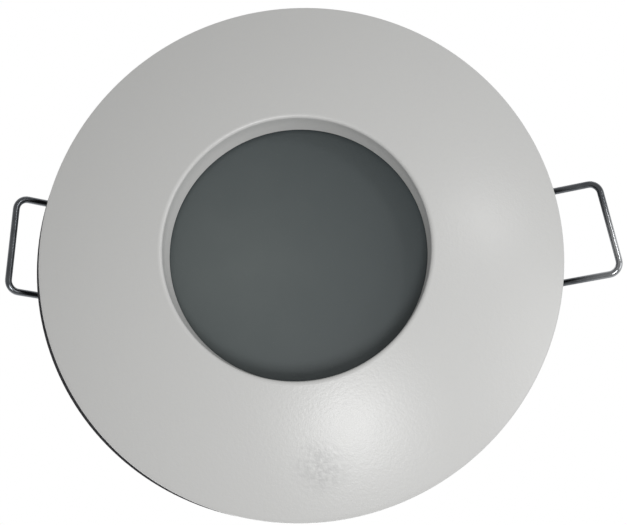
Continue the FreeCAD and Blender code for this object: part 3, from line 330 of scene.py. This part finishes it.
# %% Zinc plate, for sheet and for screws
def zinc_plate(name, grain_size):
    finish = Finish(name, (0.55, 0.57, 0.60), 0.38, Metallic=1.0)
    crystal = finish.cells(grain_size)
    bloom = finish.ramp(finish.noise(3.5, 4.0), 0.45, 0.75)
    plate = finish.mix(crystal, rgba(0.46, 0.48, 0.51), rgba(0.64, 0.65, 0.67))
    finish.set(Base_Color=finish.mix(bloom * 0.35, plate, rgba(0.36, 0.36, 0.36)))
    finish.set(Roughness=0.30 + bloom * 0.20)
    finish.set(Normal=finish.bump(crystal, 0.008))
    return finish.material


# %% [markdown]
# Moulded parts take the fine spark-eroded texture of their mould and have soft, slightly paler
# patches. The same recipe makes nylon, rubber, silicone and the lampholder's ceramic.

# %% Moulded nylon and rubber
def moulded(name, colour, roughness, texture_size, relief):
    finish = Finish(name, colour, roughness)
    spark = finish.noise(texture_size, 3.0)
    cloud = finish.noise(8, 3.0)
    light = tuple(min(1, part * 1.5 + 0.01) for part in colour)
    finish.set(Base_Color=finish.mix(cloud, rgba(*colour), rgba(*light)))
    finish.set(Roughness=roughness - 0.06 + spark * 0.12)
    finish.set(Normal=finish.bump(spark, relief))
    return finish.material


# %% [markdown]
# Rivets, contacts and the lamp's mirror are soft metals with small handling marks, which dull the
# colour and the polish in the same places.

# %% Soft metals: rivets, brass, nickel, and the lamp's mirror
def soft_metal(name, colour, roughness, mark_size):
    finish = Finish(name, colour, roughness, Metallic=1.0)
    marks = finish.noise(mark_size, 4.0)
    dull = tuple(part * 0.72 for part in colour)
    finish.set(Base_Color=finish.mix(marks, rgba(*colour), rgba(*dull)))
    finish.set(Roughness=roughness - 0.05 + marks * 0.12)
    finish.set(Normal=finish.bump(marks, 0.006))
    return finish.material


# %% [markdown]
# The lamp's lens and its small capsule are pressed glass: clear, with slow ripples.

# %% Clear lamp glass
def lamp_glass():
    finish = Finish("lamp_glass", (0.93, 0.95, 0.96), 0.04, IOR=1.5, Transmission_Weight=0.95)
    ripple = finish.noise(2.5, 2.0)
    finish.set(Roughness=0.03 + ripple * 0.05)
    finish.set(Normal=finish.bump(ripple, 0.03))
    return finish.material


# %% [markdown]
# The record gives every piece a slot, and each slot has one finish, so all pieces of one material
# match wherever they are.

# %% The finish of each slot in the record
finishes = {
    "white_powder_coat": powder_coat(),
    "frosted_glass": etched_glass(),
    "spring_wire": spring_wire(),
    "black_foam": foam(),
    "drawn_aluminium": drawn_aluminium(),
    "zinc_sheet": zinc_plate("zinc_sheet", 0.8),
    "zinc_fastener": zinc_plate("zinc_fastener", 0.35),
    "clear_silicone": moulded("clear_silicone", (0.55, 0.55, 0.53), 0.45, 0.3, 0.01),
    "black_rubber": moulded("black_rubber", (0.018, 0.018, 0.020), 0.75, 0.25, 0.03),
    "black_nylon": moulded("black_nylon", (0.020, 0.021, 0.024), 0.48, 0.18, 0.02),
    "white_ceramic": moulded("white_ceramic", (0.72, 0.70, 0.65), 0.60, 0.30, 0.03),
    "aluminium_rivet": soft_metal("aluminium_rivet", (0.62, 0.63, 0.64), 0.42, 0.5),
    "brass": soft_metal("brass", (0.66, 0.48, 0.22), 0.34, 0.6),
    "nickel": soft_metal("nickel", (0.62, 0.60, 0.56), 0.22, 0.5),
    "coated_reflector": soft_metal("coated_reflector", (0.78, 0.78, 0.76), 0.16, 1.5),
    "lamp_glass": lamp_glass(),
}
slot_of = {entry["node"]: entry["material_slot"] for entry in frame["record"]["subparts"]}
for node, piece in frame["nodes"].items():
    piece.data.materials.clear()
    piece.data.materials.append(finishes[slot_of[node]])
print("finishes:", len(finishes), "on", len(slot_of), "measured pieces")

# %% [markdown]
# ## From a mesh to a piece
#
# Every new piece ends in the same way: doubled points are joined, faces are turned outwards, sharp
# corners are marked so that the shading breaks there, the piece is given its finish, it rides on its
# body where one is given, and the measured pieces it stands for are hidden.

# %% Finish a mesh
SHARP_ANGLE = math.radians(32)


def make_piece(mesh, name, *nodes, body=None):
    """Turns a mesh into an object that stands for measured nodes, and rides on a body if given."""
    bmesh.ops.remove_doubles(mesh, verts=mesh.verts, dist=0.002 * MM)
    bmesh.ops.recalc_face_normals(mesh, faces=mesh.faces)
    for face in mesh.faces:
        face.smooth = True
    for edge in mesh.edges:
        edge.smooth = edge.calc_face_angle(0.0) < SHARP_ANGLE
    data = bpy.data.meshes.new(name)
    mesh.to_mesh(data)
    mesh.free()
    piece = bpy.data.objects.new(name, data)
    bpy.context.scene.collection.objects.link(piece)
    slot = slot_of[nodes[0]]
    piece.data.materials.append(finishes[slot])
    if body:
        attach(piece, body)
    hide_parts(*nodes)
    print(f"{name}: {len(data.polygons)} faces")
    return piece


# %% [markdown]
# ## Turned pieces
#
# The trim, the glass and the foam ring are round, so each is drawn as half of its cross section and
# spun about its axis. Corners are rounded while the section is still flat, where it costs two
# numbers, and not on the finished mesh.

# %% Spin a section
AROUND = 192


def section(points):
    """A flat face in the XZ plane from (radius, height) points in millimetres."""
    mesh = bmesh.new()
    corners = [mesh.verts.new((radius * MM, 0, height * MM)) for radius, height in points]
    mesh.faces.new(corners)
    return mesh, corners


def round_off(mesh, corners, reach, segments=4):
    """Rounds corners of the flat section. reach is how far the rounding runs along each side."""
    bmesh.ops.bevel(mesh, geom=corners, offset=reach * MM, segments=segments, profile=0.5,
                    affect="VERTICES", material=-1)


def spin(mesh, centre=(0, 0)):
    """Turns the section once round a vertical axis through centre, which is in millimetres."""
    bmesh.ops.delete(mesh, geom=list(mesh.faces), context="FACES_ONLY")
    middle = (centre[0] * MM, centre[1] * MM, 0)
    bmesh.ops.translate(mesh, verts=mesh.verts, vec=middle)
    bmesh.ops.spin(mesh, geom=mesh.verts[:] + mesh.edges[:], cent=middle, axis=(0, 0, 1),
                   dvec=(0, 0, 0), angle=math.tau, steps=AROUND, use_merge=True,
                   use_duplicate=False)


# %% [markdown]
# The front's sizes come from the measured pieces where they can be read off a box. The ball radius of
# the face and the radii of the opening are the same driving sizes as in the solids.

# %% Levels and radii of the front, in millimetres
low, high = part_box("bezel")
TRIM_RADIUS = (high.x - low.x) / 2 / MM
DOME_RADIUS = 105
APERTURE_RADIUS = 22.4
LEDGE_RADIUS = 21.9
LIP = 1.5
low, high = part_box("ceiling_gasket")
FOAM_THICK = (high.z - low.z) / MM
low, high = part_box("front_glass")
GLASS_RADIUS = (high.x - low.x) / 2 / MM
GLASS_FRONT, GLASS_BACK = low.z / MM, high.z / MM
DOME_CENTRE = math.sqrt(DOME_RADIUS**2 - TRIM_RADIUS**2) - FOAM_THICK - LIP
print(f"trim radius {TRIM_RADIUS:.1f}, glass radius {GLASS_RADIUS:.1f}, foam {FOAM_THICK:.1f} mm")


def dome_height(radius, skin=0.0):
    """Height of the domed face at a radius, or of its inside a skin's thickness behind it."""
    return DOME_CENTRE - math.sqrt((DOME_RADIUS - skin) ** 2 - radius**2)


# %% [markdown]
# The trim is one casting. Its face is part of a large ball, its edge is a thin lip, and behind the
# opening a narrow ledge carries the glass. The hollow behind the face is bridged by twelve ribs.

# %% The trim
LAND_RADIUS, HOLLOW_RADIUS = 35, 38
SEAT_RADIUS, POCKET_RADIUS = 29.5, 26.6
GLASS_BED = 0.6
LEDGE_HEIGHT = GLASS_FRONT - GLASS_BED
LEDGE_EDGE, LEDGE_SLOPE = 0.25, 1.15
DOME_SKIN = 2.2
DOME_STEPS = 28
LIP_BACK_ROUND, LIP_FRONT_ROUND = 0.5, 0.316
RIM_ROUND, RIM_STEPS = 0.77, 6
RIBS, RIB_THICK, RIB_SUNK = 12, 1.2, 0.3


def make_trim():
    inner = [
        (LEDGE_RADIUS, LEDGE_HEIGHT - LEDGE_EDGE), (LEDGE_RADIUS, LEDGE_HEIGHT),
        (POCKET_RADIUS, LEDGE_HEIGHT), (POCKET_RADIUS, GLASS_BACK), (SEAT_RADIUS, GLASS_BACK),
        (SEAT_RADIUS, 0), (LAND_RADIUS, 0), (LAND_RADIUS, dome_height(LAND_RADIUS, DOME_SKIN)),
        (HOLLOW_RADIUS, dome_height(HOLLOW_RADIUS, DOME_SKIN)), (HOLLOW_RADIUS, -FOAM_THICK),
        (TRIM_RADIUS, -FOAM_THICK), (TRIM_RADIUS, -FOAM_THICK - LIP)]
    run = (APERTURE_RADIUS - TRIM_RADIUS) / DOME_STEPS
    dome = [(TRIM_RADIUS + run * step, dome_height(TRIM_RADIUS + run * step))
            for step in range(1, DOME_STEPS + 1)]
    wall = [(APERTURE_RADIUS, LEDGE_HEIGHT - LEDGE_SLOPE)]
    mesh, corners = section(inner + dome + wall)
    lip_back, lip_front, rim = corners[10], corners[11], corners[-2]
    round_off(mesh, [lip_back], LIP_BACK_ROUND)
    round_off(mesh, [lip_front], LIP_FRONT_ROUND)
    round_off(mesh, [rim], RIM_ROUND, RIM_STEPS)
    spin(mesh)
    for index in range(RIBS):
        add_rib(mesh, math.tau * index / RIBS)
    return make_piece(mesh, "trim", "bezel", body="housing")


def add_rib(mesh, bearing):
    """One rib across the hollow behind the face, sunk a little into both of its sides."""
    length = HOLLOW_RADIUS - LAND_RADIUS + 2 * RIB_SUNK
    bottom = dome_height(HOLLOW_RADIUS, DOME_SKIN / 2)
    height = -FOAM_THICK - bottom
    middle = Vector(((LAND_RADIUS + HOLLOW_RADIUS) / 2, 0, bottom + height / 2)) * MM
    size = Matrix.Diagonal((length * MM, RIB_THICK * MM, height * MM, 1))
    place = Matrix.Rotation(bearing, 4, "Z") @ Matrix.Translation(middle) @ size
    bmesh.ops.create_cube(mesh, size=1, matrix=place)


make_trim()

# %% [markdown]
# The glass is a flat disc of toughened glass with a ground bevel at each edge, which keeps it from
# chipping when the clamp ring is pressed home.

# %% The glass
GLASS_BEVEL = 0.3


def make_window():
    mesh, corners = section([(0, GLASS_FRONT), (GLASS_RADIUS, GLASS_FRONT),
                             (GLASS_RADIUS, GLASS_BACK), (0, GLASS_BACK)])
    round_off(mesh, corners[1:3], GLASS_BEVEL, 3)
    spin(mesh)
    return make_piece(mesh, "etched_window", "front_glass", body="housing")


make_window()

# %% [markdown]
# The foam ring sits a little off centre, so a thin dark crescent of it shows past the trim's edge at
# one side. The measured ring says where its middle is.

# %% The foam ring
FOAM_WIDTH = 5
FOAM_ROUND = 0.2


def make_foam_ring():
    low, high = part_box("ceiling_gasket")
    middle = ((low.x + high.x) / 2 / MM, (low.y + high.y) / 2 / MM)
    outer = (high.x - low.x) / 2 / MM
    mesh, corners = section([(outer - FOAM_WIDTH, -FOAM_THICK), (outer, -FOAM_THICK),
                             (outer, 0), (outer - FOAM_WIDTH, 0)])
    round_off(mesh, corners, FOAM_ROUND, 3)
    spin(mesh, middle)
    return make_piece(mesh, "foam_ring", "ceiling_gasket", body="housing")


make_foam_ring()

# %% [markdown]
# ## Spring wire
#
# Each clip is one piece of wire: a straight tail in the bracket, three turns round the pin, a leg,
# the cross bar, and the same again. It is made as it is bent: a round section is pushed along each
# straight and spun round each bend. A spin that also climbs gives the turns. The turns wind up when
# the loop is folded.

# %% Push and bend a wire
WIRE_RADIUS = 0.6
WIRE_SIDES = 20


def start_wire(mesh, place, way):
    """The wire's round section, square to the way it will go."""
    facing = way.to_track_quat("Z", "Y").to_matrix().to_4x4()
    matrix = Matrix.Translation(place * MM) @ facing
    ring = bmesh.ops.create_circle(mesh, radius=WIRE_RADIUS * MM, segments=WIRE_SIDES, matrix=matrix)
    return list({edge for vert in ring["verts"] for edge in vert.link_edges})


def push(mesh, edges, move):
    """Pushes the open end of the wire along a straight, in millimetres."""
    grown = bmesh.ops.extrude_edge_only(mesh, edges=edges)["geom"]
    verts = {item for item in grown if isinstance(item, bmesh.types.BMVert)}
    bmesh.ops.translate(mesh, verts=list(verts), vec=move * MM)
    return [item for item in grown if isinstance(item, bmesh.types.BMEdge)
            and verts.issuperset(item.verts)]


def bend(mesh, edges, centre, axis, angle, steps, climb=Vector((0, 0, 0))):
    """Spins the open end of the wire round a centre, climbing along the axis if asked to."""
    ends = list({vert for edge in edges for vert in edge.verts})
    swept = bmesh.ops.spin(mesh, geom=edges + ends, cent=centre * MM, axis=axis,
                           dvec=climb * MM / steps, angle=angle, steps=steps,
                           use_merge=False, use_duplicate=False)
    return [item for item in swept["geom_last"] if isinstance(item, bmesh.types.BMEdge)]


def close_ends(mesh):
    open_edges = [edge for edge in mesh.edges if edge.is_boundary]
    bmesh.ops.holes_fill(mesh, edges=open_edges, sides=0)


# %% [markdown]
# The two clips are alike, but in the photograph their loops don't stand at the same angle. Droop is
# how far a loop hangs below the level of the board, and skew how far its bar is turned from square,
# both in degrees. A frame at each pin lets both clips be made by the same functions.

# %% Where the two clips stand
CLIPS = {"right": {"droop": 16.0, "skew": 5.5}, "left": {"droop": 35.0, "skew": 0.0}}
COIL_RADIUS = 2.4
COIL_PITCH = 1.8
COIL_TURNS = 3
LOOP_WIDTH, LOOP_LENGTH, LOOP_BEND = 16.6, 23.044, 2.0
TAIL_LENGTH = 4.85
WIRE = 2 * WIRE_RADIUS
BEND_STEPS, TURN_STEPS = 10, 44
AXIS_X, AXIS_Y, AXIS_Z = Vector((1, 0, 0)), Vector((0, 1, 0)), Vector((0, 0, 1))


def hinge_frame(side):
    """Where a clip's pin lies: X points away from the can and Y runs along the pin."""
    joint = next(joint for joint in frame["joints"] if joint["name"] == f"{side}_clip_fold")
    pin = -Vector(joint["axis"])
    out = pin.cross(AXIS_Z)
    turn = Matrix((out, pin, AXIS_Z)).transposed().to_4x4()
    return Matrix.Translation(joint["pos_m"]) @ turn


# %% [markdown]
# Each loop starts where the last turn lets go of the pin: out along one leg, round a bend, across the
# bar and back. A skewed loop has one leg longer than the other, so its two bends turn by more and by
# less than a right angle.

# %% The loops
def make_loop(side):
    skew = math.radians(CLIPS[side]["skew"])
    half = LOOP_WIDTH / 2
    offset = half * math.tan(skew)
    long_turn = LOOP_BEND / math.tan(math.pi / 4 - skew / 2)
    short_turn = LOOP_BEND / math.tan(math.pi / 4 + skew / 2)
    across = Vector((-math.sin(skew), -math.cos(skew), 0))
    bar = LOOP_WIDTH / math.cos(skew) - long_turn - short_turn
    first_bend = Vector((LOOP_LENGTH + offset - long_turn, half, 0))
    last_bend = Vector((LOOP_LENGTH - offset - short_turn, -half, 0))

    mesh = bmesh.new()
    end = start_wire(mesh, Vector((WIRE, half, 0)), AXIS_X)
    end = push(mesh, end, AXIS_X * (first_bend.x - WIRE))
    end = bend(mesh, end, first_bend - AXIS_Y * LOOP_BEND, -AXIS_Z, math.pi / 2 + skew, BEND_STEPS)
    end = push(mesh, end, across * bar)
    end = bend(mesh, end, last_bend + AXIS_Y * LOOP_BEND, -AXIS_Z, math.pi / 2 - skew, BEND_STEPS)
    push(mesh, end, AXIS_X * (WIRE - last_bend.x))
    close_ends(mesh)
    droop = Matrix.Rotation(math.radians(CLIPS[side]["droop"]), 4, "Y")
    under = Matrix.Translation(-AXIS_Z * COIL_RADIUS * MM)
    bmesh.ops.transform(mesh, matrix=hinge_frame(side) @ droop @ under, verts=mesh.verts)
    return make_piece(mesh, f"{side}_wire_loop", f"{side}_spring_loop", body=f"{side}_clip")


# %% [markdown]
# The turns are the working part of the spring. One run of wire is laid along the tail, spun three
# times round the pin while it climbs by a little more than its own thickness a turn, and let go along
# the leg. The second is its mirror image.

# %% The turns round the pin
def make_coil(side, index, hand):
    sweep = math.tau * COIL_TURNS - math.radians(CLIPS[side]["droop"])
    outer = LOOP_WIDTH / 2
    inner = outer - COIL_PITCH * sweep / math.tau
    mesh = bmesh.new()
    tail = Vector((-TAIL_LENGTH, inner, -COIL_RADIUS))
    end = start_wire(mesh, tail, AXIS_X)
    end = push(mesh, end, AXIS_X * TAIL_LENGTH)
    end = bend(mesh, end, AXIS_Y * inner, -AXIS_Y, sweep, TURN_STEPS * COIL_TURNS,
               AXIS_Y * (outer - inner))
    droop = math.radians(CLIPS[side]["droop"])
    push(mesh, end, Vector((math.cos(droop), 0, -math.sin(droop))) * WIRE)
    close_ends(mesh)
    mirror = Matrix.Diagonal((1, hand, 1, 1))
    placed = hinge_frame(side) @ mirror
    bmesh.ops.transform(mesh, matrix=placed, verts=mesh.verts)
    start = placed @ (AXIS_Y * (inner + WIRE_RADIUS) * MM)
    piece = make_piece(mesh, f"{side}_wire_turns_{index}", f"{side}_spring_coil_{index}")
    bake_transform(piece)


for side in CLIPS:
    make_loop(side)
    make_coil(side, 1, 1)
    make_coil(side, 2, -1)

# %% [markdown]
# ## Floor, lamps and background
#
# The light hangs in the air as if the soffit were taken away, so the floor lies well below it.

# %% Floor
FLOOR_HEIGHT, FLOOR_REACH = -0.75, 3
floor_mesh = bmesh.new()
bmesh.ops.create_grid(floor_mesh, x_segments=1, y_segments=1, size=FLOOR_REACH,
                      matrix=Matrix.Translation((0, 0, FLOOR_HEIGHT)))
floor_data = bpy.data.meshes.new("floor")
floor_mesh.to_mesh(floor_data)
floor_mesh.free()
floor = bpy.data.objects.new("floor", floor_data)
bpy.context.scene.collection.objects.link(floor)
floor_finish = Finish("pale_floor", (0.8, 0.8, 0.79), 0.9)
floor_data.materials.append(floor_finish.material)
print("floor", FLOOR_HEIGHT, "m from the board")


# %% [markdown]
# The key lamp stands in front and a little low, and makes the soft bright patch under the opening. A
# broad lamp at the right lifts that side of the trim, a small one draws the line of light along the
# wire, and one above lights the can when it is seen from behind.

# %% Lamps
LIT_PLACE = Vector((0, 0, 0.02))


def add_lamp(name, place, size, power):
    """A square soft lamp that looks at the trim."""
    data = bpy.data.lights.new(name, "AREA")
    data.size = size
    data.energy = power
    lamp = bpy.data.objects.new(name, data)
    lamp.location = place
    way = LIT_PLACE - Vector(place)
    lamp.rotation_euler = way.to_track_quat("-Z", "Y").to_euler()
    bpy.context.scene.collection.objects.link(lamp)
    print(f"{name} lamp: {power} W, {size} m square")


add_lamp("key", (0.096, 0.305, -0.560), 0.19, 1.52)
add_lamp("side", (0.62, 0.12, -0.34), 0.40, 1.1)
add_lamp("edge", (0.42, -0.21, -0.50), 0.10, 0.35)
add_lamp("above", (-0.3, 0.5, 0.7), 0.8, 1.6)

# %% [markdown]
# The background is white to the camera, in mirrors and through glass, while the world lights the
# object with a plain grey.

# %% World
WORLD_GREY = (0.50, 0.50, 0.50, 1)
world = bpy.data.worlds.new("World")
bpy.context.scene.world = world
world.use_nodes = True
tree = world.node_tree
tree.nodes.clear()
ray = tree.nodes.new("ShaderNodeLightPath")
grey = tree.nodes.new("ShaderNodeBackground")
grey.inputs["Color"].default_value = WORLD_GREY
white = tree.nodes.new("ShaderNodeBackground")
white.inputs["Color"].default_value = (1, 1, 1, 1)
seen = ray.outputs["Is Camera Ray"]
for name in ("Is Glossy Ray", "Is Transmission Ray"):
    either = tree.nodes.new("ShaderNodeMath")
    either.operation = "MAXIMUM"
    tree.links.new(seen, either.inputs[0])
    tree.links.new(ray.outputs[name], either.inputs[1])
    seen = either.outputs[0]
choice = tree.nodes.new("ShaderNodeMixShader")
tree.links.new(seen, choice.inputs["Fac"])
tree.links.new(grey.outputs[0], choice.inputs[1])
tree.links.new(white.outputs[0], choice.inputs[2])
output = tree.nodes.new("ShaderNodeOutputWorld")
tree.links.new(choice.outputs[0], output.inputs["Surface"])
print("background white, world grey", WORLD_GREY[0])
